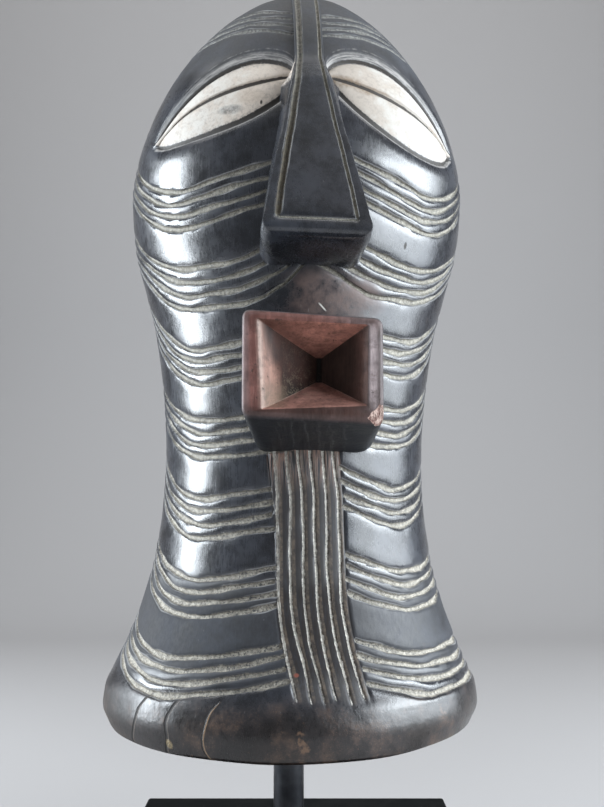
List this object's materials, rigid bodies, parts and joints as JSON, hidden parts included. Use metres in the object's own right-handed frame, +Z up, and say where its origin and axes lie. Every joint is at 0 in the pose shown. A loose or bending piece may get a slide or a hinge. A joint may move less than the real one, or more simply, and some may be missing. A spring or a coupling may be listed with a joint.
{
  "type": "carved face mask on a display stand",
  "caption": "Tall hollow wooden face mask with cut zig-zag lines, slit eyes, wedge nose and square hollowed mouth, held up by a steel rod in a black block.",
  "frame": {"origin": "centre of the underside of the stand's foot, on the table", "axes": "+Z up, the face looks along -Y, +X towards the right of the front view"},
  "size_m": [0.1718, 0.1785, 0.436],
  "materials": {
    "mask_wood": "black polished patina with white pigment in the cut lines and on the eyes, bare reddish brown wood at the mouth",
    "rod_steel": "satin",
    "foot_black": "smooth black lacquer"
  },
  "bodies": {
    "root": {"mask": "mask_wood", "rod": "rod_steel", "foot": "foot_black"}
  },
  "joints": []
}
